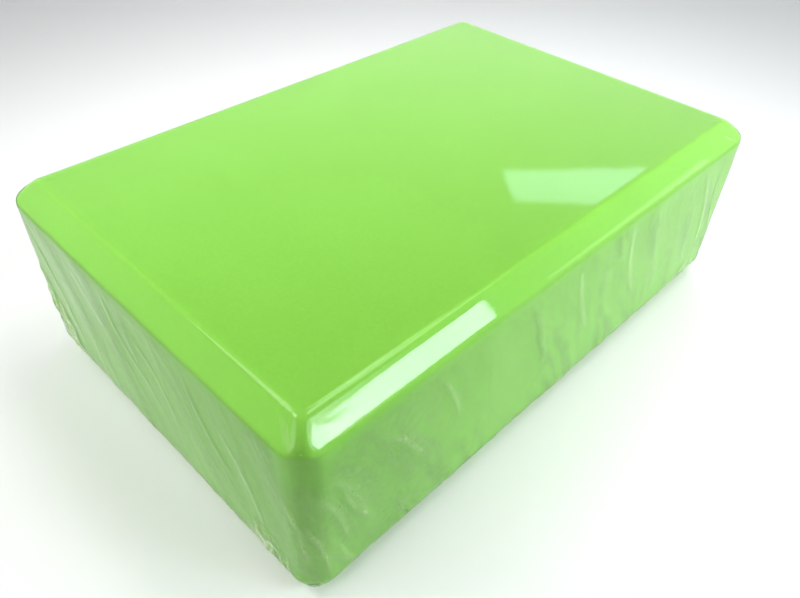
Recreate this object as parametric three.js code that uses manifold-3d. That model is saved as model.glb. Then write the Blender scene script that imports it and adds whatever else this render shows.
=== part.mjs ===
// Foam exercise block in its clear shrink-film wrap.
// Millimetres, +Z up, +X along the block's length. The origin is the centre of the underside, on the surface
// that the wrapped block rests on. Left and right are -X and +X, front and back are -Y and +Y.
import * as THREE from "three";
import { ConvexGeometry } from "three/addons/geometries/ConvexGeometry.js";
import { mergeVertices } from "three/addons/utils/BufferGeometryUtils.js";
import Module from "manifold-3d";

// The foam block
const LENGTH = 228.6;
const WIDTH = 152.4;
const HEIGHT = 72;
const CORNER_RADIUS = 8; // of the four upright edges, seen from above
const BEVEL_INSET = 7.3; // of the bevel round the top and the bottom, measured inwards
const BEVEL_DROP = 6.6; // of the same bevel, measured down the side
const ARC_DIVISIONS = 4; // each quarter-round corner has twice as many flats

// The film. Its solids are thicker than the real film, and stand a little off the foam.
const GAP = 0.3; // between any two solids that lie on each other
const FILM = 0.3;
const SKIN = GAP + FILM; // from the foam to the film's outer face
const WELD_HEIGHT = SKIN + BEVEL_DROP / 2; // where the two panels meet, halfway up the lower bevel

// The welds: the thin bead that the hot wire leaves where it cuts and joins the two panels
const WELD_DEPTH = 1.6; // how far the bead stands off the film
const WELD_THICKNESS = 0.8;

// The corner tucks: the film's spare corners, drawn up into small flat lumps
const TUCK_THICKNESS = 1;
const TUCK_HALF_WIDTH = 3;
const TUCK_HALF_HEIGHT = 5.8;
const TUCK_CENTRE_HEIGHT = 6.2;

const FAR = 2 * LENGTH; // larger than the object, for cutting boxes

const materials = {
  foam: new THREE.MeshStandardMaterial({ color: 0x8fdc4e, roughness: 0.8, metalness: 0 }),
  film: new THREE.MeshStandardMaterial({
    color: 0xf2f6f0,
    roughness: 0.08,
    metalness: 0,
    transparent: true,
    opacity: 0.25,
  }),
  weld: new THREE.MeshStandardMaterial({
    color: 0xe6efe0,
    roughness: 0.3,
    metalness: 0,
    transparent: true,
    opacity: 0.7,
  }),
};

const wasm = await Module();
wasm.setup();

function toSolid(geometry) {
  const bare = geometry.index ? geometry.toNonIndexed() : geometry.clone();
  bare.deleteAttribute("normal");
  bare.deleteAttribute("uv");
  const merged = mergeVertices(bare, 1e-4);
  return new wasm.Manifold(
    new wasm.Mesh({
      numProp: 3,
      vertProperties: new Float32Array(merged.attributes.position.array),
      triVerts: new Uint32Array(merged.index.array),
    }),
  );
}

function toGeometry(solid) {
  const mesh = solid.getMesh();
  const geometry = new THREE.BufferGeometry();
  geometry.setAttribute("position", new THREE.BufferAttribute(mesh.vertProperties, 3));
  geometry.setIndex(new THREE.BufferAttribute(mesh.triVerts, 1));
  geometry.computeVertexNormals();
  return geometry;
}

function roundedRectangle(length, width, radius) {
  const x = length / 2 - radius;
  const y = width / 2 - radius;
  const quarter = Math.PI / 2;
  const shape = new THREE.Shape();
  shape.absarc(x, y, radius, 0, quarter);
  shape.absarc(-x, y, radius, quarter, 2 * quarter);
  shape.absarc(-x, -y, radius, 2 * quarter, 3 * quarter);
  shape.absarc(x, -y, radius, 3 * quarter, 4 * quarter);
  return shape.getPoints(ARC_DIVISIONS);
}

// The block's shape with every face moved outwards by the same offset. The side is rounded at the upright edges.
// The flat top and bottom have square corners, so each corner of the bevel is part of a cone.
function blockGeometry(offset) {
  const slope = Math.hypot(BEVEL_INSET, BEVEL_DROP);
  const inset = BEVEL_INSET + offset * (1 - (slope - BEVEL_INSET) / BEVEL_DROP);
  const drop = BEVEL_DROP + offset * (1 - (slope - BEVEL_DROP) / BEVEL_INSET);
  const length = LENGTH + 2 * offset;
  const width = WIDTH + 2 * offset;
  const low = SKIN - offset;
  const high = SKIN + HEIGHT + offset;
  const points = [];
  for (const { x, y } of roundedRectangle(length, width, CORNER_RADIUS + offset)) {
    points.push(new THREE.Vector3(x, y, low + drop), new THREE.Vector3(x, y, high - drop));
  }
  for (const x of [inset - length / 2, length / 2 - inset]) {
    for (const y of [inset - width / 2, width / 2 - inset]) {
      points.push(new THREE.Vector3(x, y, low), new THREE.Vector3(x, y, high));
    }
  }
  return new ConvexGeometry(points);
}

// A hollow skin round the block, from one offset to another.
function skinSolid(inner, outer) {
  return toSolid(blockGeometry(outer)).subtract(toSolid(blockGeometry(inner)));
}

function slabSolid(low, high) {
  return toSolid(new THREE.BoxGeometry(FAR, FAR, high - low).translate(0, 0, (low + high) / 2));
}

function upperPanelGeometry() {
  return toGeometry(skinSolid(GAP, SKIN).intersect(slabSolid(WELD_HEIGHT + GAP / 2, FAR)));
}

function lowerPanelGeometry() {
  return toGeometry(skinSolid(GAP, SKIN).intersect(slabSolid(-FAR, WELD_HEIGHT - GAP / 2)));
}

// A tuck lies on the corner's film, so it is a patch of a skin one gap further out.
function tuckGeometry(sideX, sideY) {
  const inner = SKIN + GAP;
  const reach = CORNER_RADIUS * Math.SQRT1_2;
  const lump = new THREE.SphereGeometry(1, 16, 12)
    .scale(TUCK_HALF_WIDTH, TUCK_HALF_WIDTH, TUCK_HALF_HEIGHT)
    .translate(
      sideX * (LENGTH / 2 - CORNER_RADIUS + reach),
      sideY * (WIDTH / 2 - CORNER_RADIUS + reach),
      TUCK_CENTRE_HEIGHT,
    );
  return toGeometry(skinSolid(inner, inner + TUCK_THICKNESS).intersect(toSolid(lump)));
}

// A straight bead that stands square to the lower bevel, modelled along X at the middle of the front bevel.
function weldGeometry(length) {
  const tilt = Math.atan2(BEVEL_DROP, BEVEL_INSET);
  const slopeMiddle = -SKIN / Math.cos(tilt);
  const standOff = GAP + WELD_DEPTH / 2;
  return new THREE.BoxGeometry(length, WELD_THICKNESS, WELD_DEPTH)
    .translate(0, 0, -standOff)
    .rotateX(-tilt)
    .translate(0, 0, slopeMiddle);
}

function named(name, geometry, material) {
  const mesh = new THREE.Mesh(geometry, material);
  mesh.name = name;
  return mesh;
}

// A weld in a group turned to face one side of the block.
function weldOnSide(name, turn, halfDepth, length) {
  const side = new THREE.Group();
  const weld = named(name, weldGeometry(length), materials.weld);
  weld.position.set(0, -(halfDepth - BEVEL_INSET / 2), SKIN + BEVEL_DROP / 2);
  side.rotation.z = turn;
  side.add(weld);
  return side;
}

const wrappedBlock = new THREE.Group();
wrappedBlock.add(named("foam_block", blockGeometry(0), materials.foam));

const wrap = new THREE.Group();
wrap.add(named("film_upper_panel", upperPanelGeometry(), materials.film));
wrap.add(named("film_lower_panel", lowerPanelGeometry(), materials.film));

const endWeldLength = WIDTH - 2 * CORNER_RADIUS;
const sideWeldLength = LENGTH - 2 * CORNER_RADIUS;
wrap.add(weldOnSide("weld_left_end", -Math.PI / 2, LENGTH / 2, endWeldLength));
wrap.add(weldOnSide("weld_right_end", Math.PI / 2, LENGTH / 2, endWeldLength));
wrap.add(weldOnSide("weld_back_side", Math.PI, WIDTH / 2, sideWeldLength));

for (const [sideY, along] of [[-1, "front"], [1, "back"]]) {
  for (const [sideX, across] of [[-1, "left"], [1, "right"]]) {
    wrap.add(named(`corner_tuck_${along}_${across}`, tuckGeometry(sideX, sideY), materials.weld));
  }
}
wrappedBlock.add(wrap);

export default wrappedBlock;
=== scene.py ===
"""Looks for the foam exercise block in its clear shrink film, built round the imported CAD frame.

Lengths are in millimetres until a mesh, a light or the camera is made, and in metres from there on.
Left and right are -X and +X, front and back are -Y and +Y. "Around" is how far round the sides a place is.
Seen from above it runs anticlockwise, from the front left corner along the front, the right end, the back and
the left end.
"""
import math
from collections import namedtuple

import bpy
import numpy as np
from mathutils import Matrix, Vector, noise


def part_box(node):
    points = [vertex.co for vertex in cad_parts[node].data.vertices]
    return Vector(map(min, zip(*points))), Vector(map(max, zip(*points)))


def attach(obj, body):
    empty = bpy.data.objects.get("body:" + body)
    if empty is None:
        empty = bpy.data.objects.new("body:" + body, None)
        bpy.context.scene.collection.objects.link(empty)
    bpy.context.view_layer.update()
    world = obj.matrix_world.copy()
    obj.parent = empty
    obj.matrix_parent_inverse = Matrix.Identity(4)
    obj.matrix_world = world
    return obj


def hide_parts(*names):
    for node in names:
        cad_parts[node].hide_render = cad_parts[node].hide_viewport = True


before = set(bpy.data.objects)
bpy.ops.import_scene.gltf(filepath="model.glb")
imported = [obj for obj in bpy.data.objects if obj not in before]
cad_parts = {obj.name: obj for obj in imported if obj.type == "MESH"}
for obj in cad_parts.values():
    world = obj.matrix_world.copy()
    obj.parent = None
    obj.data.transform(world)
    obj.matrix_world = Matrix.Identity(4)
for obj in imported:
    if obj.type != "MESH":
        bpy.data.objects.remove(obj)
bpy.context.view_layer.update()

MM = 0.001
TOUCH = 0.01  # corners this close to a face are on it
FRONT_LEFT, FRONT_RIGHT, BACK_RIGHT, BACK_LEFT = range(4)

FILM_LIFT = 0.36  # from the foam to the film where it lies flat

# Radii of the block's rims: round the top, below the top bevel, above the lower bevel, round the underside
RIMS = (3.6, 2.4, 2.4, 3.0)

# How finely the surfaces are divided
FILM_STEP = 1.09
FILM_ZONE_STEP = 0.7
FOAM_STEP = 2.4
FOAM_ZONE_STEP = 1.0
ZONE = 20  # each corner's finer zone reaches this far from the corner
FEWEST_BENDS = 4  # on a rounded rim

# The upright corners are round, but the bevels nearly meet in a mitre: the outline's corner radius falls
# from the side's to this one within a few millimetres inwards.
MITRE_RADIUS = 2.2
MITRE_FALL = 1.7


# ---------------------------------------------------------------- the block's surface

Block = namedtuple("Block", "length width low high radius inset drop")
Surface = namedtuple("Surface", "points normals around section faces")


def read_block(node):
    """The sizes of a bevelled CAD block, read off the corners of its faces."""
    corners = np.array([v.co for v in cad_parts[node].data.vertices]) / MM
    far, wide, tall = corners.max(0)
    end_face = corners[corners[:, 0] > far - TOUCH]
    top_face = corners[corners[:, 2] > tall - TOUCH]
    return Block(
        length=2 * far,
        width=2 * wide,
        low=corners[:, 2].min(),
        high=tall,
        radius=wide - end_face[:, 1].max(),
        inset=far - top_face[:, 0].max(),
        drop=tall - end_face[:, 2].max(),
    )


def grown(block, by):
    """The same block with every face moved outwards."""
    slope = math.hypot(block.inset, block.drop)
    return Block(
        length=block.length + 2 * by,
        width=block.width + 2 * by,
        low=block.low - by,
        high=block.high + by,
        radius=block.radius + by,
        inset=block.inset + by * (1 - (slope - block.inset) / block.drop),
        drop=block.drop + by * (1 - (slope - block.drop) / block.inset),
    )


def path_length(points):
    """How far each point of a path is along it."""
    steps = np.linalg.norm(np.diff(points, axis=0), axis=1)
    return np.concatenate([[0], np.cumsum(steps)])


def along(angle):
    """The way that a line runs at this angle down the section."""
    return np.array([math.cos(angle), math.sin(angle)])


def outward(angle):
    """The normal of a line that runs at this angle down the section."""
    return np.array([-math.sin(angle), math.cos(angle)])


def section(block, rims, step):
    """Rows down the block's section, from the edge of the top to the edge of the underside. A row is a place
    outwards of the side, a height, and the two parts of the normal. Each rim is rounded by its radius."""
    deep = block.inset + rims[0]
    path = np.array([
        (-deep, block.high),
        (-block.inset, block.high),
        (0, block.high - block.drop),
        (0, block.low + block.drop),
        (-block.inset, block.low),
        (-deep, block.low),
    ])
    runs = np.diff(path, axis=0)
    angles = np.unwrap(np.arctan2(runs[:, 1], runs[:, 0]))
    rows = []
    start = path[0]
    for corner, radius, before, after in zip(path[1:-1], rims, angles, angles[1:]):
        turn = abs(after - before)
        reach = radius * math.tan(turn / 2)
        stop = corner - reach * along(before)
        rows += straight_rows(start, stop, before, step)
        centre = stop - radius * outward(before)
        bends = max(FEWEST_BENDS, math.ceil(2 * radius * turn / step))
        for angle in np.linspace(before, after, bends + 1)[:-1]:
            rows.append([*(centre + radius * outward(angle)), *outward(angle)])
        start = corner + reach * along(after)
    rows += straight_rows(start, path[-1], angles[-1], step)
    rows.append([*path[-1], *outward(angles[-1])])
    return np.array(rows)


def straight_rows(start, stop, angle, step):
    count = max(1, math.ceil(np.linalg.norm(stop - start) / step))
    return [[*(start + (stop - start) * k / count), *outward(angle)] for k in range(count)]


def cut_section(rows, height):
    """The rows above and below a height, both with a row at that height."""
    below = int(np.argmax(rows[:, 1] < height))
    share = (rows[below - 1, 1] - height) / (rows[below - 1, 1] - rows[below, 1])
    middle = rows[below - 1] + share * (rows[below] - rows[below - 1])
    return np.vstack([rows[:below], middle]), np.vstack([middle, rows[below:]])


def side_edge(half, corner, reach, zone_cells, plain_cells):
    """One side of a rounded rectangle, from the middle of one corner to the middle of the next:
    places along it, depths inwards from its line, and turns of its normal."""
    arc = corner * math.pi / 4
    walked = np.linspace(arc + reach - corner, 0, zone_cells + 1)
    turn = np.clip((arc - walked) / corner, 0, None)
    place = half - corner + np.where(walked > arc, arc - walked, corner * np.sin(turn))
    depth = corner * (1 - np.cos(turn))
    middle = np.linspace(reach - half, half - reach, plain_cells + 1)[1:-1]
    flat = np.zeros_like(middle)
    return (
        np.concatenate([-place[::-1], middle, place]),
        np.concatenate([depth[::-1], flat, depth]),
        np.concatenate([-turn[::-1], flat, turn]),
    )


def ring_edges(block, inset, zone_cells, plain_cells):
    """The four edges of the outline at an inset, each as points and plan normals."""
    corner = MITRE_RADIUS + (block.radius - MITRE_RADIUS) * math.exp(-inset / MITRE_FALL)
    halves = (block.length / 2 - inset, block.width / 2 - inset)
    edges = []
    for side in range(4):
        half, out = halves[side % 2], halves[1 - side % 2]
        place, depth, turn = side_edge(half, corner, ZONE - inset, zone_cells, plain_cells[side % 2])
        x, y = place, depth - out
        nx, ny = np.sin(turn), -np.cos(turn)
        for _ in range(side):
            x, y = -y, x
            nx, ny = -ny, nx
        edges.append((np.stack([x, y], 1), np.stack([nx, ny], 1)))
    return edges


def patch(edges):
    """A grid of points that fills an outline: each is blended from the four edges."""
    front, right, back, left = [points for points, _ in edges]
    back, left = back[::-1], left[::-1]
    u = ((front[:, 0] - front[0, 0]) / (front[-1, 0] - front[0, 0]))[:, None, None]
    v = ((left[:, 1] - left[0, 1]) / (left[-1, 1] - left[0, 1]))[None, :, None]
    rails = (1 - v) * front[:, None] + v * back[:, None]
    rungs = (1 - u) * left[None] + u * right[None]
    corners = (
        (1 - u) * (1 - v) * front[0] + u * (1 - v) * front[-1] + (1 - u) * v * back[0] + u * v * back[-1]
    )
    return rails + rungs - corners


def cap_indices(counts, first_index, ring_start):
    """The point numbers of a cap's grid. Its border is the ring that starts at ring_start."""
    nx, ny = counts
    around = 2 * (nx + ny)
    grid = np.zeros((nx + 1, ny + 1), int)
    grid[1:-1, 1:-1] = first_index + np.arange((nx - 1) * (ny - 1)).reshape(nx - 1, ny - 1)
    grid[:, 0] = np.arange(nx + 1)
    grid[nx, :] = nx + np.arange(ny + 1)
    grid[::-1, ny] = nx + ny + np.arange(nx + 1)
    grid[0, ::-1] = 2 * nx + ny + np.arange(ny + 1)
    border = np.ones_like(grid, bool)
    border[1:-1, 1:-1] = False
    grid[border] = ring_start + grid[border] % around
    return grid


def block_surface(block, rows, step, zone_step, top=False, bottom=False):
    """The block's surface along some rows of its section, with a filled top or bottom if asked."""
    zone_cells = math.ceil((block.radius * math.pi / 4 + ZONE - block.radius) / zone_step)
    plain_cells = [math.ceil((side - 2 * ZONE) / step) for side in (block.length, block.width)]
    counts = [2 * zone_cells + plain for plain in plain_cells]
    around_count = 2 * sum(counts)

    side = np.vstack([points[:-1] for points, _ in ring_edges(block, 0, zone_cells, plain_cells)])
    around = path_length(side)

    points, normals = [], []
    for out, height, normal_out, normal_up in rows:
        edges = ring_edges(block, -out, zone_cells, plain_cells)
        plan = np.vstack([p[:-1] for p, _ in edges])
        facing = np.vstack([n[:-1] for _, n in edges])
        points.append(np.column_stack([plan, np.full(around_count, height)]))
        normals.append(np.column_stack([facing * normal_out, np.full(around_count, normal_up)]))
    depth = np.repeat(path_length(rows[:, :2]), around_count)

    here = np.arange(around_count)
    following = np.roll(here, -1)
    faces = []
    for row in range(len(rows) - 1):
        upper, lower = row * around_count, (row + 1) * around_count
        faces.append(np.stack([upper + here, lower + here, lower + following, upper + following], 1))

    total = len(rows) * around_count
    for wanted, row, up in ((top, 0, 1), (bottom, len(rows) - 1, -1)):
        if not wanted:
            continue
        filled = patch(ring_edges(block, -rows[row, 0], zone_cells, plain_cells))[1:-1, 1:-1].reshape(-1, 2)
        points.append(np.column_stack([filled, np.full(len(filled), rows[row, 1])]))
        normals.append(np.tile([0.0, 0.0, up], (len(filled), 1)))
        depth = np.concatenate([depth, np.full(len(filled), depth[row * around_count])])
        grid = cap_indices(counts, total, row * around_count)
        quads = np.stack([grid[:-1, :-1], grid[1:, :-1], grid[1:, 1:], grid[:-1, 1:]], -1).reshape(-1, 4)
        faces.append(quads[:, ::up])
        total += len(filled)

    everywhere = np.zeros(total)
    everywhere[: len(rows) * around_count] = np.tile(around, len(rows))
    return Surface(np.vstack(points), np.vstack(normals), everywhere, depth, np.vstack(faces))


def make_object(name, points, faces, material, **attributes):
    """A smooth mesh object from points in millimetres, with named numbers on its points."""
    mesh = bpy.data.meshes.new(name)
    mesh.from_pydata((points * MM).tolist(), [], [list(face) for face in faces])
    mesh.polygons.foreach_set("use_smooth", [True] * len(mesh.polygons))
    for label, values in attributes.items():
        mesh.attributes.new(label, "FLOAT", "POINT").data.foreach_set("value", values.astype(np.float32))
    mesh.materials.append(material)
    mesh.update()
    made = bpy.data.objects.new(name, mesh)
    bpy.context.scene.collection.objects.link(made)
    return made


# ---------------------------------------------------------------- smooth noise over points

SEED_STRIDE = 31.7  # how far one seed's noise is from the next one's
NOISE_GAIN = 1.6
CREST_POWER = 1.5
BUMP_CORE = 0.25  # the share of a bump's radius where it keeps its full height

# A layer of smooth noise: how far apart its features are, along all the axes or each of them, and its seed
Noise = namedtuple("Noise", "period seed")


def field(points, layer):
    """Smooth noise from about -1 to 1."""
    spread = points / np.asarray(layer.period) + SEED_STRIDE * layer.seed
    return np.array([noise.noise(p) for p in spread.tolist()]) * NOISE_GAIN


def crest(values, width):
    """Thin ridges where a noise passes through nought: 1 on the ridge's line and 0 away from it."""
    return np.clip(1 - np.abs(values) / width, 0, 1) ** CREST_POWER


def fade(values, start, stop):
    """0 before start, 1 after stop, and smooth between them. It falls if stop comes before start."""
    t = np.clip((values - start) / (stop - start), 0, 1)
    return t * t * (3 - 2 * t)


def bump_at(values, centre, radius):
    """A smooth bump of height 1 that is gone a radius away from its centre."""
    return 1 - fade(np.abs(values - centre), BUMP_CORE * radius, radius)


# ---------------------------------------------------------------- materials

FOAM_GREEN_DEEP = (0.318, 0.720, 0.080, 1)
FOAM_GREEN_LIGHT = (0.365, 0.790, 0.110, 1)
FILM_CLEAR = (0.985, 0.995, 0.985, 1)
FILM_MILK = (0.80, 0.97, 0.56, 1)
FILM_PAINTED_SHADE = (0.25, 0.53, 0.11, 1)  # painted shade: a dark green painted on the film's veil where the film stands off the foam and its folds shade each other
FILM_MIRROR = (1, 1, 1, 1)
FILM_IOR = 1.33
MELT_CLEAR = (0.97, 0.99, 0.97, 1)
MELT_GREEN = (0.48, 0.80, 0.30, 1)
MELT_PALE = (0.82, 0.94, 0.70, 1)
FLOOR_DIM = (0.90, 0.90, 0.90, 1)
FLOOR_PALE = (0.93, 0.93, 0.93, 1)
WINDOW_BLUE = (0.70, 0.92, 1.0, 1)
WINDOW_PALE = (0.78, 0.97, 1.0, 1)
WINDOW_RADIANCE = 5.0


def node_material(name):
    """A new node material, with a short way to add nodes to it and to finish it with a shader."""
    material = bpy.data.materials.new(name)
    material.use_nodes = True
    tree = material.node_tree
    tree.nodes.clear()
    output = tree.nodes.new("ShaderNodeOutputMaterial")

    def add(kind, settings=None, **inputs):
        """A node's first output. Its inputs are given by their names, or as in0, in1 and so on."""
        made = tree.nodes.new("ShaderNode" + kind)
        for key, value in (settings or {}).items():
            setattr(made, key, value)
        for key, value in inputs.items():
            socket = made.inputs[int(key[2:]) if key.startswith("in") else key.replace("_", " ")]
            if isinstance(value, bpy.types.NodeSocket):
                tree.links.new(value, socket)
            else:
                socket.default_value = value
        return made.outputs[0]

    def finish(shader):
        tree.links.new(shader, output.inputs["Surface"])
        return material

    return add, finish


def object_place(add):
    """The output that says where on the object a point is."""
    return add("TexCoord").node.outputs["Object"]


def cloudy(add, place, scale, detail, roughness, distortion=0.0):
    """A noise texture's value."""
    shape = {"Scale": scale, "Detail": detail, "Roughness": roughness, "Distortion": distortion}
    return add("TexNoise", Vector=place, **shape)


def attribute(add, label):
    """One of the numbers that make_object puts on the mesh."""
    return add("Attribute", {"attribute_name": label}).node.outputs["Fac"]


def remap(add, value, source, target):
    """A value carried over from one range to another, and held within it."""
    return add(
        "MapRange", Value=value, From_Min=source[0], From_Max=source[1], To_Min=target[0], To_Max=target[1]
    )


def foam_material():
    """Closed-cell EVA foam: lime green, matt, with fine cells and faint mottling."""
    add, finish = node_material("eva_foam")
    place = object_place(add)
    mottle = cloudy(add, place, 38.0, 3.0, 0.6)
    cells = add("TexVoronoi", {"feature": "F1"}, Vector=place, Scale=1500.0, Randomness=1.0)
    grain = cloudy(add, place, 900.0, 2.0, 0.5)
    base = add("MixRGB", in0=mottle, in1=FOAM_GREEN_DEEP, in2=FOAM_GREEN_LIGHT)
    speck = remap(add, grain, (0.3, 0.7), (0.98, 1.015))
    colour = add("VectorMath", {"operation": "SCALE"}, Vector=base, Scale=speck)
    roughness = remap(add, mottle, (0.3, 0.7), (0.62, 0.78))
    bump = add("Bump", Strength=0.25, Distance=0.00005, Height=cells)
    return finish(add("BsdfPrincipled", Base_Color=colour, Roughness=roughness, Normal=bump, IOR=1.45))


def film_material(name):
    """Clear shrink film: a mirror at grazing angles, clear elsewhere, and veiled as the mesh's numbers say:
    milky in places, and darkened elsewhere by painted shade.
    """
    add, finish = node_material(name)
    place = object_place(add)
    patchy = remap(add, cloudy(add, place, 420.0, 4.0, 0.65), (0.35, 0.65), (0.75, 1.25))
    haze = add("Math", {"operation": "MULTIPLY", "use_clamp": True}, in0=attribute(add, "haze"), in1=patchy)
    crinkle = cloudy(add, place, 330.0, 3.0, 0.55, 0.6)
    height = add("Math", {"operation": "MULTIPLY"}, in0=crinkle, in1=attribute(add, "slack"))
    bump = add("Bump", Strength=1.0, Distance=0.00035, Height=height)
    # The veil's colour runs from the painted shade, where pale is 0, to milky film, where it is 1.
    tone = add("MixRGB", in0=attribute(add, "pale"), in1=FILM_PAINTED_SHADE, in2=FILM_MILK)
    veil = add("BsdfDiffuse", Color=tone, Roughness=0.0, Normal=bump)
    clear = add("BsdfTransparent", Color=FILM_CLEAR)
    body = add("MixShader", in0=haze, in1=clear, in2=veil)
    roughness = remap(add, haze, (0.0, 0.5), (0.045, 0.22))
    gloss = add("BsdfGlossy", Color=FILM_MIRROR, Roughness=roughness, Normal=bump)
    mirror = add("Fresnel", IOR=FILM_IOR, Normal=bump)
    return finish(add("MixShader", in0=mirror, in1=body, in2=gloss))


def weld_material():
    """Film melted or bunched to a whitish, half clear bead."""
    add, finish = node_material("melted_film")
    cloud = cloudy(add, object_place(add), 520.0, 3.0, 0.6)
    cover = remap(add, cloud, (0.3, 0.7), (0.2, 0.65))
    colour = add("MixRGB", in0=cloud, in1=MELT_GREEN, in2=MELT_PALE)
    bump = add("Bump", Strength=0.6, Distance=0.0002, Height=cloud)
    clear = add("BsdfTransparent", Color=MELT_CLEAR)
    solid = add("BsdfPrincipled", Base_Color=colour, Roughness=0.22, IOR=1.5, Normal=bump)
    return finish(add("MixShader", in0=cover, in1=clear, in2=solid))


def floor_material():
    """A pale, matt studio floor."""
    add, finish = node_material("studio_floor")
    cloud = cloudy(add, object_place(add), 3.0, 2.0, 0.5)
    colour = add("MixRGB", in0=cloud, in1=FLOOR_DIM, in2=FLOOR_PALE)
    return finish(add("BsdfPrincipled", Base_Color=colour, Roughness=0.85, IOR=1.3))


def window_material():
    """A pale glow, uneven as a sky behind glass is."""
    add, finish = node_material("window_glow")
    cloud = cloudy(add, object_place(add), 1.5, 1.0, 0.5)
    colour = add("MixRGB", in0=cloud, in1=WINDOW_BLUE, in2=WINDOW_PALE)
    return finish(add("Emission", Color=colour, Strength=WINDOW_RADIANCE))


# ---------------------------------------------------------------- the foam

foam_block = read_block("foam_block")
film_block = grown(foam_block, FILM_LIFT)
film_rims = [radius + FILM_LIFT for radius in RIMS]

FOAM_SWELLS, FOAM_SWELL_LIFT = Noise(45, 1), 0.035
FOAM_DIMPLES, FOAM_DIMPLE_LIFT = Noise(9, 2), 0.02
FOAM_MOST_LIFT = 0.05  # well under the film


def make_foam():
    rows = section(foam_block, RIMS, FOAM_STEP)
    shape = block_surface(foam_block, rows, FOAM_STEP, FOAM_ZONE_STEP, top=True, bottom=True)
    swells = FOAM_SWELL_LIFT * field(shape.points, FOAM_SWELLS)
    lift = swells + FOAM_DIMPLE_LIFT * field(shape.points, FOAM_DIMPLES)
    points = shape.points + shape.normals * np.minimum(lift, FOAM_MOST_LIFT)[:, None]
    return make_object("foam_core", points, shape.faces, foam_material())


# ---------------------------------------------------------------- where the film is wrinkled

LEAN = 0.45  # the side's folds run this far round for each millimetre down
Crumple = namedtuple("Crumple", "corner offset height reach_around reach_up strength")
CRUMPLES = (
    Crumple(BACK_LEFT, 9, 24, 8, 26, 1.0),
    Crumple(FRONT_LEFT, -15, 10, 13, 11, 1.0),
    Crumple(FRONT_RIGHT, 17, 22, 12, 22, 0.7),
    Crumple(FRONT_RIGHT, -16, 8, 10, 9, 0.5),
    Crumple(BACK_RIGHT, 18, 14, 14, 14, 0.9),
    Crumple(BACK_LEFT, -14, 9, 12, 10, 0.8),
)

# Single folds that stand out. Start and stop are how far round from the corner, and how high. The bow is
# how far the fold's line bends out between them. The last number is the fold's veil: over nought the film
# is milky there, and under nought shade is painted on it, darker than the film beside it.
Fold = namedtuple("Fold", "corner start stop bow width rise haze")
FOLDS = (
    Fold(FRONT_LEFT, (3, 50), (12, 20), -2.0, 1.5, 0.20, 0.14),
    Fold(FRONT_LEFT, (7, 54), (19, 24), -2.5, 1.3, 0.17, 0.12),
    Fold(FRONT_LEFT, (11, 47), (22, 22), 1.5, 1.3, 0.17, 0.11),
    Fold(FRONT_LEFT, (-1, 38), (5, 12), -1.5, 1.3, 0.18, 0.14),
    Fold(FRONT_LEFT, (9, 24), (15, 6), 1.0, 1.4, 0.18, 0.12),
    Fold(FRONT_LEFT, (5, 50), (16, 17), -1.5, 1.8, 0.10, -0.20),
    Fold(FRONT_LEFT, (-6, 48), (-1, 16), -1.5, 1.6, 0.20, 0.12),
    Fold(FRONT_LEFT, (25, 55), (33, 50), 3.0, 1.5, 0.12, -0.14),
    Fold(FRONT_LEFT, (26, 54), (41, 32), -2.0, 1.5, 0.14, 0.14),
    Fold(FRONT_LEFT, (32, 52), (42, 34), 2.0, 1.4, 0.12, -0.14),
    Fold(FRONT_LEFT, (31, 23), (38, 5), 0.8, 2.2, 0.10, -0.30),
    Fold(FRONT_LEFT, (47, 60), (56, 36), -2.0, 1.4, 0.18, 0.14),
    Fold(FRONT_LEFT, (86, 62), (99, 26), -3.0, 1.5, 0.20, -0.18),
    Fold(FRONT_LEFT, (112, 64), (127, 26), 2.0, 1.5, 0.22, 0.18),
    Fold(FRONT_LEFT, (143, 62), (160, 22), 2.5, 1.5, 0.22, 0.16),
    Fold(FRONT_RIGHT, (-30, 60), (-16, 20), -3.0, 1.6, 0.25, 0.20),
    Fold(FRONT_RIGHT, (-16, 58), (-6, 24), 2.0, 1.5, 0.20, -0.20),
    Fold(FRONT_RIGHT, (9, 54), (24, 12), -3.0, 1.7, 0.25, 0.18),
    Fold(FRONT_RIGHT, (50, 60), (66, 30), 3.0, 1.6, 0.25, -0.18),
    Fold(BACK_RIGHT, (-24, 56), (-8, 14), -3.0, 1.7, 0.25, 0.18),
    Fold(BACK_RIGHT, (20, 58), (38, 18), 3.0, 1.6, 0.25, -0.18),
    Fold(BACK_RIGHT, (95, 62), (112, 22), -3.0, 1.6, 0.25, 0.18),
    Fold(BACK_LEFT, (-26, 56), (-9, 16), -3.0, 1.7, 0.25, 0.18),
    Fold(BACK_LEFT, (9, 56), (24, 18), -2.5, 1.6, 0.22, 0.14),
    Fold(BACK_LEFT, (58, 62), (78, 34), 4.0, 1.6, 0.20, -0.16),
    Fold(BACK_LEFT, (72, 54), (90, 26), -4.0, 1.6, 0.20, 0.14),
    Fold(BACK_LEFT, (102, 60), (120, 30), 3.0, 1.6, 0.22, -0.16),
    Fold(BACK_LEFT, (116, 50), (132, 18), -3.0, 1.6, 0.22, 0.14),
)
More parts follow.
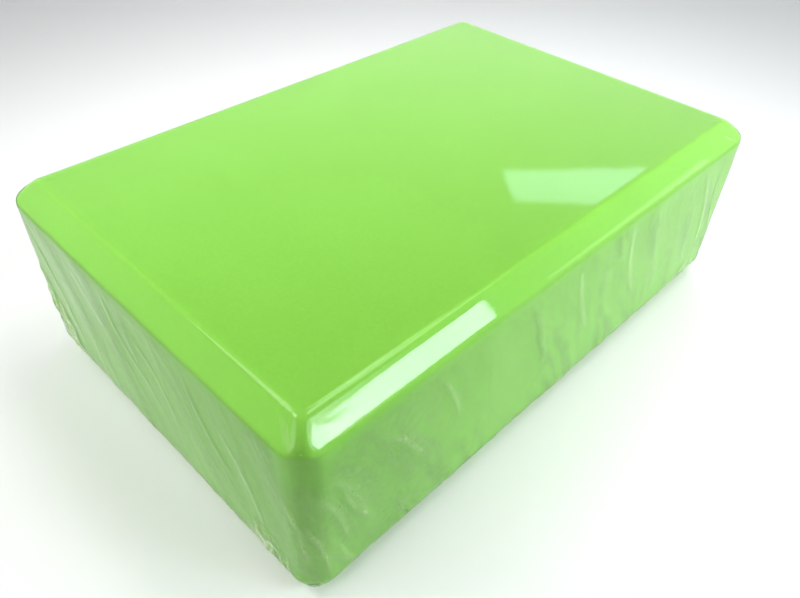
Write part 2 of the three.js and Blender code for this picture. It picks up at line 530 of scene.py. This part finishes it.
# Short creases across the bevel, in the same terms
CREASES = (
    Fold(FRONT_LEFT, (7, 70.0), (19, 69.4), 1.0, 0.9, 0.02, 0.0),
    Fold(FRONT_LEFT, (86, 71.4), (89, 68.0), 0.3, 1.0, 0.04, 0.0),
    Fold(FRONT_LEFT, (-9, 71.0), (-4, 67.4), -0.6, 1.1, 0.14, 0.08),
    Fold(FRONT_LEFT, (-6, 71.4), (-3, 68.6), 0.5, 1.0, 0.12, 0.08),
    Fold(FRONT_RIGHT, (-12, 71.0), (-6, 67.6), 0.8, 1.1, 0.10, 0.05),
    Fold(BACK_RIGHT, (6, 70.8), (12, 68.0), -0.8, 1.1, 0.12, 0.05),
    Fold(BACK_LEFT, (-12, 70.8), (-5, 68.2), 0.8, 1.1, 0.12, 0.05),
)

# The folds fade at their ends. These are shares of a fold's length, given as nought and full.
FOLD_STARTS = (-0.05, 0.2)
FOLD_STOPS = (1.05, 0.75)

# Heights of the side's wrinkles: nought and full at its top, and least and full at its foot
TOP_BEVEL_FOOT = film_block.high - film_block.drop
LOW_BEVEL_HEAD = film_block.low + film_block.drop
SIDE_TOP = (TOP_BEVEL_FOOT + 0.5, TOP_BEVEL_FOOT - 5)
SIDE_FOOT = (film_block.low + 1, LOW_BEVEL_HEAD + 2)
LEAST_SIDE_SHARE = 0.35

POCKET_HALF_WIDTH, POCKET_HALF_HEIGHT = 13, 17
CRUMPLES_TOP = (film_block.high - 8, film_block.high - 20)  # heights of nought and full
CRUMPLE_EDGE = (1, 0.1)  # nought and full, in squares of the share of a patch's reach

# How finely the outline is walked: cells in each corner's zone, and between the zones of each side
WALK_ZONE_CELLS, WALK_PLAIN_CELLS = 40, (200, 140)


def outline_walk(block):
    """A closed walk round the block's side outline, and how far each point is round it."""
    edges = ring_edges(block, 0, WALK_ZONE_CELLS, WALK_PLAIN_CELLS)
    points = np.vstack([p[:-1] for p, _ in edges] + [edges[0][0][:1]])
    return points, path_length(points)


def walked_to(towards):
    """How far round the outline the point is that lies closest to one of its box's corners."""
    return WALKED[np.argmin(np.linalg.norm(OUTLINE - OUTLINE.max(0) * towards, axis=1))]


OUTLINE, WALKED = outline_walk(film_block)
ROUND = WALKED[-1]
CORNERS = [0.0, walked_to((1, -1)), walked_to((1, 1)), walked_to((-1, 1))]


def plan_at(around):
    """The outline's point at a place round it."""
    place = np.mod(around, ROUND)
    return np.stack([np.interp(place, WALKED, OUTLINE[:, axis]) for axis in (0, 1)], 1)


def from_corner(around, corner):
    """How far round the outline a place is from a corner, the short way, with its sign."""
    return np.mod(around - CORNERS[corner] + ROUND / 2, ROUND) - ROUND / 2


def leaning(shape):
    """Points for the side's noise, sheared so that its features lean as the folds do."""
    height = shape.points[:, 2]
    return np.column_stack([plan_at(shape.around + LEAN * height), height])


def side_share(shape):
    """1 on the sides, less from the lower bevel down, and 0 on the top bevel and the top."""
    height = shape.points[:, 2]
    lower = fade(height, *SIDE_FOOT)
    return fade(height, *SIDE_TOP) * (LEAST_SIDE_SHARE + (1 - LEAST_SIDE_SHARE) * lower)


def pocket_share(shape):
    """1 in the smooth pocket at the top of each upright corner, where the film is drawn tight."""
    height = shape.points[:, 2]
    share = np.zeros(len(height))
    for corner in range(4):
        across = bump_at(from_corner(shape.around, corner), 0, POCKET_HALF_WIDTH)
        share = np.maximum(share, across * bump_at(height, TOP_BEVEL_FOOT, POCKET_HALF_HEIGHT))
    return share


def crumple_share(shape):
    """1 in the middle of each crumpled patch of spare film, and 0 near the top."""
    height = shape.points[:, 2]
    share = np.zeros(len(height))
    for spot in CRUMPLES:
        leaned = from_corner(shape.around, spot.corner) - spot.offset + LEAN * (height - spot.height)
        round_part = (leaned / spot.reach_around) ** 2
        up_part = ((height - spot.height) / spot.reach_up) ** 2
        share = np.maximum(share, spot.strength * fade(round_part + up_part, *CRUMPLE_EDGE))
    return share * fade(height, *CRUMPLES_TOP)


def fold_share(shape, fold):
    """1 along a fold's line, falling to 0 at its width from the line and at its ends."""
    around = from_corner(shape.around, fold.corner) - fold.start[0]
    height = shape.points[:, 2] - fold.start[1]
    run = np.subtract(fold.stop, fold.start)
    length = np.linalg.norm(run)
    reached = (around * run[0] + height * run[1]) / length**2
    bowed = fold.bow * 4 * reached * (1 - reached)
    across = (around * run[1] - height * run[0]) / length - bowed
    return fade(np.abs(across), fold.width, 0) * fade(reached, *FOLD_STARTS) * fade(reached, *FOLD_STOPS)


# ---------------------------------------------------------------- how the film is wrinkled, and where shade is painted on it

# Lifts, widths and reaches are in millimetres. The noise of the sides is warped, so that its folds wander.
WARPS = (Noise(22, 3), Noise(22, 4), Noise(22, 5))
WARP_REACH, WARP_SHARES = 3.0, (1, 1, 0.6)

SIDE_FOLDS, SIDE_FOLD_LIFT, SIDE_FOLD_BASE = Noise((13, 13, 46), 6), 0.14, 0.6
SIDE_CREASES, SIDE_CREASE_LIFT, SIDE_CREASE_WIDTH = Noise((12, 12, 40), 7), 0.09, 0.16
FINE_LINES, FINE_LINE_LIFT, FINE_LINE_WIDTH = Noise((5, 5, 19), 8), 0.025, 0.25
STREAKS = Noise((4.5, 4.5, 26), 17)
# Painted shade: the film's veil is painted dark where both the folds and the streaks are high, and round the
# front left corner
FOLD_PAINTED_SHADE = 0.26
SHADED_FOLDS = (-0.3, 0.8)
SHADED_STREAKS = (-0.4, 0.6)
NEAR_CORNER_PAINTED_SHADE = 0.20
NEAR_CORNER_MIDDLE, NEAR_CORNER_REACH = 12, 62
FILM_HAZE = 0.02
CREASE_HAZE = 0.05
# painted shade on a fold whose veil is under nought, for each unit of it
PAINTED_FOLD_SHADE_GAIN = 1.3

COARSE_CRUMPLES, COARSE_CRUMPLE_LIFT, COARSE_CRUMPLE_WIDTH = Noise(6.5, 9), 0.45, 0.3
SHARP_CRUMPLES, SHARP_CRUMPLE_LIFT = Noise(2.6, 10), 0.22
CRUMPLE_BASE_LIFT = 0.2
FLECKS, FLECK_WIDTH, FLECK_WARP = Noise((3.2, 3.2, 4.4), 16), 0.4, 0.6
CRUMPLE_HAZE, FLECK_HAZE = 0.05, 0.75

PLEATS, PLEAT_LIFT, PLEAT_BASE = Noise(4.2, 11), 0.16, 0.4
PLEATS_MIDDLE, PLEATS_REACH = film_block.low + film_block.drop * 0.6, 9
PLEAT_HAZE, MILKY_PLEATS = 0.04, (0, 0.6)

GATHERS, GATHERS_WIDTH, GATHERS_REACH = Noise(3.4, 12), 0.4, 15
GATHERS_STRETCH = 0.4  # under 1, so that they run down the bevel
GATHERS_BEFORE, GATHERS_AFTER = 0.11, 0.01  # their lift on the two sides of a corner
GATHERS_FOOT = (TOP_BEVEL_FOOT - 2, film_block.high - film_block.drop * 0.6)  # heights of nought and full
GATHERS_FROM_TOP = 0.5  # they keep this far off the edge of the top's flat middle

TOP_SWELLS, TOP_SWELL_LIFT = Noise(70, 13), 0.035
TOP_RIPPLES, TOP_RIPPLE_LIFT = Noise((22, 22, 60), 14), 0.012
TOP_DRAWN, TOP_DRAWN_LIFT = Noise(7.5, 15), 0.02  # lines drawn across the top's right part
TOP_DRAWN_LEAN, TOP_DRAWN_STRETCH = 0.5, 0.35
ON_TOP = (film_block.high - 1.2, film_block.high)  # heights of nought and full
RIGHT_PART = (0.1 * film_block.length, 0.45 * film_block.length)  # the same, along X

MOST_VEIL_COVER = 0.9
LEAST_COVER = 0.001  # keeps the division off nought
SIDE_SLACK = 0.2
LOWEST_LIFT = -0.2  # still clear of the foam
OFF_FLOOR = 0.02


def side_wrinkles(shape, lean, warp):
    """The sides' folds, creases and fine lines: their lift, how milky they are, and how much painted shade
    they get.
    """
    pocket = pocket_share(shape)
    sides = side_share(shape) * (1 - pocket)
    veil_share = sides * (1 - pocket)
    stretched = lean + WARP_REACH * warp * WARP_SHARES
    folds = field(stretched, SIDE_FOLDS)
    creases = crest(field(stretched, SIDE_CREASES), SIDE_CREASE_WIDTH)
    fine = crest(field(stretched, FINE_LINES), FINE_LINE_WIDTH)
    streaks = field(np.column_stack([stretched[:, :2], shape.points[:, 2]]), STREAKS)
    painted_corner_shade_share = bump_at(from_corner(shape.around, FRONT_LEFT), NEAR_CORNER_MIDDLE, NEAR_CORNER_REACH)

    lift = sides * (
        SIDE_FOLD_LIFT * (folds + SIDE_FOLD_BASE) + SIDE_CREASE_LIFT * creases + FINE_LINE_LIFT * fine
    )
    # Painted shade: the veil darkens the folds where the streaks are high, the front left corner, and the
    # folds whose veil is under nought.
    fold_painted_shade = FOLD_PAINTED_SHADE * fade(folds, *SHADED_FOLDS) * fade(streaks, *SHADED_STREAKS)
    shade = veil_share * (fold_painted_shade + NEAR_CORNER_PAINTED_SHADE * painted_corner_shade_share)
    milk = veil_share * (FILM_HAZE + CREASE_HAZE * creases)
    for fold in FOLDS:
        share = fold_share(shape, fold) * sides
        lift += fold.rise * share
        milk += max(fold.haze, 0) * share
        shade += PAINTED_FOLD_SHADE_GAIN * max(-fold.haze, 0) * share
    for crease in CREASES:
        share = fold_share(shape, crease)
        lift += crease.rise * share
        milk += crease.haze * share
    return lift, milk, shade, SIDE_SLACK * sides


def crumpled_film(shape, warp):
    """The crumpled patches: their lift, how milky they are and how slack."""
    crumpled = crumple_share(shape)
    warped = shape.points + warp
    coarse = crest(field(warped, COARSE_CRUMPLES), COARSE_CRUMPLE_WIDTH)
    sharp = field(warped, SHARP_CRUMPLES)
    flecks = crest(field(shape.points + FLECK_WARP * warp, FLECKS), FLECK_WIDTH)
    lift = crumpled * (COARSE_CRUMPLE_LIFT * coarse + SHARP_CRUMPLE_LIFT * sharp + CRUMPLE_BASE_LIFT)
    return lift, crumpled * (CRUMPLE_HAZE + FLECK_HAZE * flecks), crumpled


def weld_pleats(shape, lean):
    """The small pleats up from the weld and over the underside: their lift and how milky they are."""
    near_weld = bump_at(shape.points[:, 2], PLEATS_MIDDLE, PLEATS_REACH) * (shape.section > film_block.inset)
    pleats = field(lean * (1, 1, 0), PLEATS)
    lift = near_weld * PLEAT_LIFT * (pleats + PLEAT_BASE)
    return lift, PLEAT_HAZE * near_weld * fade(pleats, *MILKY_PLEATS)


def bevel_gathers(shape):
    """How far the film lifts in the puckers on the top bevel's corners."""
    height = shape.points[:, 2]
    bevel = fade(height, *GATHERS_FOOT) * (shape.section > GATHERS_FROM_TOP)
    along_bevel = np.column_stack([shape.around, shape.section * GATHERS_STRETCH, height * 0])
    gathers = crest(field(along_bevel, GATHERS), GATHERS_WIDTH)
    lift = np.zeros(len(height))
    for corner in range(4):
        offset = from_corner(shape.around, corner)
        rise = np.where(offset < 0, GATHERS_BEFORE, GATHERS_AFTER)
        lift += bevel * bump_at(offset, 0, GATHERS_REACH) * rise * gathers
    return lift


def top_ripples(shape):
    """How far the film lifts in the faint swells and drawn lines of the top."""
    x, y, height = shape.points.T
    swells = TOP_SWELL_LIFT * field(shape.points, TOP_SWELLS)
    ripples = TOP_RIPPLE_LIFT * field(shape.points, TOP_RIPPLES)
    drawn = field(np.column_stack([x - TOP_DRAWN_LEAN * y, TOP_DRAWN_STRETCH * y, height]), TOP_DRAWN)
    drawn_lift = TOP_DRAWN_LIFT * fade(x, *RIGHT_PART) * drawn
    return fade(height, *ON_TOP) * (swells + ripples + drawn_lift)


def film_wrinkles(shape):
    """What the film does at each point: how far it lifts off the foam, how much its veil of milky film and
    painted shade covers, how pale that veil is, and how slack the film is."""
    lean = leaning(shape)
    warp = np.column_stack([field(lean, layer) for layer in WARPS])
    side_lift, side_milk, shade, side_slack = side_wrinkles(shape, lean, warp)
    crumple_lift, crumple_milk, crumple_slack = crumpled_film(shape, warp)
    pleat_lift, pleat_milk = weld_pleats(shape, lean)
    lift = side_lift + crumple_lift + pleat_lift + bevel_gathers(shape) + top_ripples(shape)
    milk = side_milk + crumple_milk + pleat_milk
    # The veil is the milky film and the painted shade together.
    cover = milk + shade
    haze = np.minimum(cover, MOST_VEIL_COVER)
    pale = milk / np.maximum(cover, LEAST_COVER)
    return np.maximum(lift, LOWEST_LIFT), haze, pale, side_slack + crumple_slack


def make_film(name, rows, **caps):
    shape = block_surface(film_block, rows, FILM_STEP, FILM_ZONE_STEP, **caps)
    lift, haze, pale, slack = film_wrinkles(shape)
    points = shape.points + shape.normals * lift[:, None]
    points[:, 2] = np.maximum(points[:, 2], OFF_FLOOR)
    return make_object(name, points, shape.faces, film_material(name), haze=haze, pale=pale, slack=slack)


# ---------------------------------------------------------------- the welds and the tucked corners

BEAD_RINGS_APART = 0.9
BEAD_SIDES = 10
BEAD_HALF_DEPTH = 1.05
BEAD_HALF_THICKNESS = 0.3
BEAD_SUNK = 0.35  # towards the block from the middle of its CAD weld
BEAD_RAGS, BEAD_DEPTH_RAG, BEAD_THICKNESS_RAG = Noise(3.1, 20), 0.16, 0.3
BEAD_WAVES, BEAD_WAVE_REACH = Noise(17, 21), 0.12
BEAD_TAPER = 24  # high, so that only the ends taper
BEAD_THINNEST = 0.02

TUCK_HALF_WIDTH = 3.4
TUCK_SHARE = 0.6  # of its CAD solid's height, from the bottom up
TUCK_RINGS = 14
TUCK_SPOKES = 40
TUCK_RAGS, TUCK_RAG = Noise(0.45, 22), 0.14
TUCK_EDGE_LIFT = 0.10
TUCK_CROWN_LIFT, TUCK_CROWN_POWER = 0.38, 0.8
TUCK_PLEAT_LIFT, TUCK_PLEAT_RATE = 0.12, 3.4  # the rates are in radians for each millimetre
TUCK_PLEAT_BEND, TUCK_PLEAT_BEND_RATE = 0.5, 0.9
TUCK_SUNK = 0.12
BEAD_SEED_STEP, TUCK_SEED_STEP = 3.7, 1.9  # so that no two beads or tucks are the same


def cad_box(node):
    """The low and high corners of a CAD node's box, in millimetres."""
    return [np.array(corner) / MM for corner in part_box(node)]


def make_bead(name, node, material, seed):
    """The ragged bead that the hot wire leaves, along the middle of its CAD weld and square to the lower
    bevel."""
    low, high = cad_box(node)
    centre, half = (low + high) / 2, (high - low) / 2
    lengthwise = int(np.argmax(half))
    outwards = 1 - lengthwise
    run = np.zeros(3)
    run[lengthwise] = 1.0
    away = np.zeros(3)
    away[outwards] = math.copysign(foam_block.drop, centre[outwards])
    away[2] = -foam_block.inset
    away /= np.linalg.norm(away)
    across = np.cross(run, away)

    count = math.ceil(2 * half[lengthwise] / BEAD_RINGS_APART)
    places = np.linspace(-half[lengthwise], half[lengthwise], count + 1)
    along_bead = np.column_stack([places, 0 * places, 0 * places + seed])
    rough = field(along_bead, BEAD_RAGS)
    wave = BEAD_WAVE_REACH * field(along_bead, BEAD_WAVES)
    taper = np.sqrt(np.clip(1 - (np.abs(places) / half[lengthwise]) ** BEAD_TAPER, BEAD_THINNEST, 1))
    angles = np.arange(BEAD_SIDES) * 2 * math.pi / BEAD_SIDES
    points = []
    for place, rag, bend, thin in zip(places, rough, wave, taper):
        middle = centre + place * run - BEAD_SUNK * away + bend * across
        deep = BEAD_HALF_DEPTH * (1 + BEAD_DEPTH_RAG * rag) * thin
        thick = BEAD_HALF_THICKNESS * (1 + BEAD_THICKNESS_RAG * rag) * thin
        for angle in angles:
            points.append(middle + deep * math.cos(angle) * away + thick * math.sin(angle) * across)
    faces = []
    for ring in range(count):
        for side in range(BEAD_SIDES):
            here, beside = ring * BEAD_SIDES + side, ring * BEAD_SIDES + (side + 1) % BEAD_SIDES
            faces.append((here, beside, beside + BEAD_SIDES, here + BEAD_SIDES))
    last = count * BEAD_SIDES
    faces.append(tuple(range(BEAD_SIDES))[::-1])
    faces.append(tuple(range(last, last + BEAD_SIDES)))
    return make_object(name, np.array(points), faces, material)


def corner_place(rows, fallen, turned):
    """A place on the film at an upright corner, and its normal, from how far down the section it is and how
    far round the corner from its middle. The corner is the one at the greatest X and Y."""
    walked = path_length(rows[:, :2])
    out, height, normal_out, normal_up = [np.interp(fallen, walked, rows[:, k]) for k in range(4)]
    radius = MITRE_RADIUS + (film_block.radius - MITRE_RADIUS) * np.exp(out / MITRE_FALL)
    angle = math.pi / 4 + turned / film_block.radius
    facing = np.stack([np.cos(angle), np.sin(angle)], 1)
    hub = np.array([film_block.length, film_block.width]) / 2 + (out - radius)[:, None]
    plan = hub + radius[:, None] * facing
    return (
        np.column_stack([plan, height]),
        np.column_stack([facing * normal_out[:, None], normal_up]),
    )


def make_tuck(name, node, material, rows, seed):
    """The film's spare corner, drawn up into a small pleated lump that lies on the corner."""
    low, high = cad_box(node)
    half_height = TUCK_SHARE * (high[2] - low[2]) / 2
    middle_height = low[2] + half_height
    middle = np.interp(-middle_height, -rows[:, 1], path_length(rows[:, :2]))
    spokes = np.arange(TUCK_SPOKES) * 2 * math.pi / TUCK_SPOKES
    rim_places = np.column_stack([np.cos(spokes), np.sin(spokes), 0 * spokes + seed])
    ragged = 1 + TUCK_RAG * field(rim_places, TUCK_RAGS)
    reach = np.repeat(np.linspace(0, 1, TUCK_RINGS + 1)[1:], TUCK_SPOKES)
    around = np.tile(spokes, TUCK_RINGS)
    edge = np.tile(ragged, TUCK_RINGS)
    turned = np.append(reach * edge * TUCK_HALF_WIDTH * np.cos(around), 0)
    fallen = middle - np.append(reach * edge * half_height * np.sin(around), 0)
    reach = np.append(reach, 0)
    surface, normals = corner_place(rows, fallen, turned)
    bend = TUCK_PLEAT_BEND * np.sin(fallen * TUCK_PLEAT_BEND_RATE + seed)
    pleats = np.cos(turned * TUCK_PLEAT_RATE + bend)
    crown = (1 - reach**2) ** TUCK_CROWN_POWER
    raised = TUCK_EDGE_LIFT + crown * (TUCK_CROWN_LIFT + TUCK_PLEAT_LIFT * pleats)
    outer = surface + normals * raised[:, None]
    inner = surface - normals * TUCK_SUNK
    sign = np.sign((low + high)[:2] / 2)
    points = np.vstack([outer, inner])
    points[:, :2] *= sign

    # Each face of the outer side has one across from it on the inner side, and a rim joins the two.
    hub = TUCK_RINGS * TUCK_SPOKES
    shift = hub + 1
    faces = []
    for spoke in range(TUCK_SPOKES):
        beside = (spoke + 1) % TUCK_SPOKES
        faces.append((hub, spoke, beside))
        faces.append((shift + hub, shift + beside, shift + spoke))
        for ring in range(TUCK_RINGS - 1):
            a, b = ring * TUCK_SPOKES + spoke, ring * TUCK_SPOKES + beside
            faces.append((a, a + TUCK_SPOKES, b + TUCK_SPOKES, b))
            faces.append((shift + a, shift + b, shift + b + TUCK_SPOKES, shift + a + TUCK_SPOKES))
        last_ring = (TUCK_RINGS - 1) * TUCK_SPOKES
        rim, rim_beside = last_ring + spoke, last_ring + beside
        faces.append((rim, shift + rim, shift + rim_beside, rim_beside))
    if sign[0] * sign[1] < 0:
        faces = [face[::-1] for face in faces]
    return make_object(name, points, faces, material)


# ---------------------------------------------------------------- camera, lights and floor

# Azimuths are in degrees anticlockwise from +X, and elevations in degrees up. The places that a camera or a
# light looks at are in millimetres, and distances and sizes are in metres.
CAMERA_AIM = (-9.2, -7.8, 5.0)
CAMERA_AZIMUTH = -136.72
CAMERA_ELEVATION = 42.16
CAMERA_ROLL = 2.16
CAMERA_DISTANCE = 0.2925
CAMERA_LENS = 31.98
CAMERA_SHIFT = (-0.0040, 0.0124)
CAMERA_NEAR = 0.01

LIGHTS_AIM = (0, 0, 40)
COOL = (0.80, 1.0, 1.05)  # a light's tint
WINDOW_DISTANCE = 2.2
WINDOW_CORNERS = ((33.7, 31.6), (31.9, 34.1), (23.4, 32.9), (19.9, 28.8))  # azimuths and elevations

BRIGHT_SIDE = 35  # the azimuth where the studio is brightest, across the block from the camera
HORIZON_BRIGHT = 1.8
HORIZON_DIM = 0.14
OVERHEAD = 0.16
CLIMB = (0.30, 0.75)  # from the horizon's light to the overhead light, in sines of the elevation

FLOOR_HALF = 3.0
FLOOR_CELLS = 12


def direction(azimuth, elevation):
    """The way towards a light or camera."""
    a, e = math.radians(azimuth), math.radians(elevation)
    return Vector((math.cos(a) * math.cos(e), math.sin(a) * math.cos(e), math.sin(e)))


def looking_at(aim, way, distance, roll):
    """The placing of a camera or light that looks at a place from some way off."""
    turn = (-way).to_track_quat("-Z", "Y").to_matrix() @ Matrix.Rotation(math.radians(roll), 3, "Z")
    return Matrix.Translation(Vector(aim) * MM + way * distance) @ turn.to_4x4()


def make_camera():
    camera = bpy.data.objects.new("camera", bpy.data.cameras.new("camera"))
    bpy.context.scene.collection.objects.link(camera)
    way = direction(CAMERA_AZIMUTH, CAMERA_ELEVATION)
    camera.matrix_world = looking_at(CAMERA_AIM, way, CAMERA_DISTANCE, CAMERA_ROLL)
    camera.data.lens = CAMERA_LENS
    camera.data.shift_x, camera.data.shift_y = CAMERA_SHIFT
    camera.data.clip_start = CAMERA_NEAR
    bpy.context.scene.camera = camera


def make_light(
    name, azimuth, elevation, distance, size, radiance, roll=0.0, aim=LIGHTS_AIM, spread=180, tint=(1, 1, 1)
):
    """A soft box that looks at a place. Its power follows from how bright its surface is. A spread under
    180 degrees is a grid on it, which keeps its light near its axis."""
    light = bpy.data.lights.new(name, "AREA")
    light.shape = "RECTANGLE"
    light.size, light.size_y = size
    light.spread = math.radians(spread)
    light.color = tint
    light.energy = radiance * math.pi * size[0] * size[1]
    holder = bpy.data.objects.new(name, light)
    holder.matrix_world = looking_at(aim, direction(azimuth, elevation), distance, roll)
    bpy.context.scene.collection.objects.link(holder)


def staged_mesh(name, points, faces, material):
    """A mesh object that belongs to the studio and not to the part."""
    mesh = bpy.data.meshes.new(name)
    mesh.from_pydata(points, [], faces)
    mesh.materials.append(material)
    made = bpy.data.objects.new(name, mesh)
    bpy.context.scene.collection.objects.link(made)
    return made


def make_window():
    """The bright, uneven window that the top mirrors: a glowing card that the camera doesn't see."""
    middle = Vector(LIGHTS_AIM) * MM
    corners = [direction(*corner) * WINDOW_DISTANCE + middle for corner in WINDOW_CORNERS]
    window = staged_mesh("window", corners, [(0, 1, 2, 3)], window_material())
    window.visible_camera = False


def make_world():
    """A pale studio, brighter near the horizon on one side and dim overhead, where the soft boxes are."""
    world = bpy.data.worlds.new("studio")
    world.use_nodes = True
    tree = world.node_tree
    tree.nodes.clear()
    place = tree.nodes.new("ShaderNodeTexCoord")
    towards = tree.nodes.new("ShaderNodeVectorMath")
    towards.operation = "DOT_PRODUCT"
    towards.inputs[1].default_value = direction(BRIGHT_SIDE, 0)
    horizon = tree.nodes.new("ShaderNodeMapRange")
    horizon.inputs["From Min"].default_value = -1.0
    horizon.inputs["To Min"].default_value = HORIZON_DIM
    horizon.inputs["To Max"].default_value = HORIZON_BRIGHT
    split = tree.nodes.new("ShaderNodeSeparateXYZ")
    climb = tree.nodes.new("ShaderNodeMapRange")
    climb.interpolation_type = "SMOOTHSTEP"
    climb.inputs["From Min"].default_value = CLIMB[0]
    climb.inputs["From Max"].default_value = CLIMB[1]
    strength = tree.nodes.new("ShaderNodeMix")
    strength.inputs[3].default_value = OVERHEAD
    background = tree.nodes.new("ShaderNodeBackground")
    output = tree.nodes.new("ShaderNodeOutputWorld")
    tree.links.new(place.outputs["Generated"], towards.inputs[0])
    tree.links.new(towards.outputs["Value"], horizon.inputs["Value"])
    tree.links.new(place.outputs["Generated"], split.inputs[0])
    tree.links.new(split.outputs["Z"], climb.inputs["Value"])
    tree.links.new(climb.outputs[0], strength.inputs[0])
    tree.links.new(horizon.outputs[0], strength.inputs[2])
    tree.links.new(strength.outputs[0], background.inputs["Strength"])
    tree.links.new(background.outputs[0], output.inputs["Surface"])
    background.inputs["Color"].default_value = (1, 1, 1, 1)
    bpy.context.scene.world = world


def make_floor():
    places = np.linspace(-FLOOR_HALF, FLOOR_HALF, FLOOR_CELLS + 1)
    points = [(x, y, 0.0) for y in places for x in places]
    row = FLOOR_CELLS + 1
    starts = [j * row + i for j in range(FLOOR_CELLS) for i in range(FLOOR_CELLS)]
    quads = [(start, start + 1, start + row + 1, start + row) for start in starts]
    staged_mesh("floor", points, quads, floor_material())


# ---------------------------------------------------------------- put together

make_camera()
make_world()
make_floor()
make_window()
make_light("softbox_right", -59.5, 32, 1.6, (0.57, 0.13), 22.0, roll=-14, tint=COOL)
make_light("softbox_right_low", -36, 21, 1.6, (0.45, 0.10), 2.5, roll=-28)
make_light("left_top", 140, 58, 0.6, (0.30, 0.25), 1.07, aim=(-80, 60, 60), spread=60)
make_light("left_low", 175, 35, 0.9, (0.40, 0.40), 0.48, aim=(-100, 80, 40), spread=60)
make_light("right_high", -35, 68, 0.9, (0.40, 0.40), 0.70, aim=(100, 20, 50), spread=60)
make_light("right_top", 20, 70, 0.7, (0.30, 0.30), 0.32, aim=(110, 20, 70), spread=40)
make_light("right_bevel", -80, 41, 0.9, (0.30, 0.30), 0.38, aim=(70, -70, 68), spread=38)
make_light("right_far", -70, 36, 0.9, (0.30, 0.30), 0.30, aim=(150, -70, 40), spread=35)
make_light("near_corner", -136, 25, 0.8, (0.15, 0.15), 0.10, aim=(-108, -72, 15), spread=20)
bpy.context.scene.view_settings.view_transform = "Standard"

foam = make_foam()
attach(foam, "root")
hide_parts("foam_block")

weld_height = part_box("film_lower_panel")[1].z / MM
film_rows = section(film_block, film_rims, FILM_STEP)
upper_rows, lower_rows = cut_section(film_rows, weld_height)

film_upper = make_film("film_upper", upper_rows, top=True)
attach(film_upper, "root")
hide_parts("film_upper_panel")

film_lower = make_film("film_lower", lower_rows, bottom=True)
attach(film_lower, "root")
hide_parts("film_lower_panel")

melted = weld_material()
trimmings = []
for seed, place in enumerate(("left_end", "right_end", "back_side")):
    bead = make_bead(f"weld_bead_{place}", f"weld_{place}", melted, BEAD_SEED_STEP * seed)
    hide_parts(f"weld_{place}")
    trimmings.append(bead)
for seed, place in enumerate(("front_left", "front_right", "back_left", "back_right")):
    tuck = make_tuck(f"tuck_{place}", f"corner_tuck_{place}", melted, film_rows, TUCK_SEED_STEP * seed)
    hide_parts(f"corner_tuck_{place}")
    trimmings.append(tuck)
for piece in trimmings:
    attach(piece, "root")
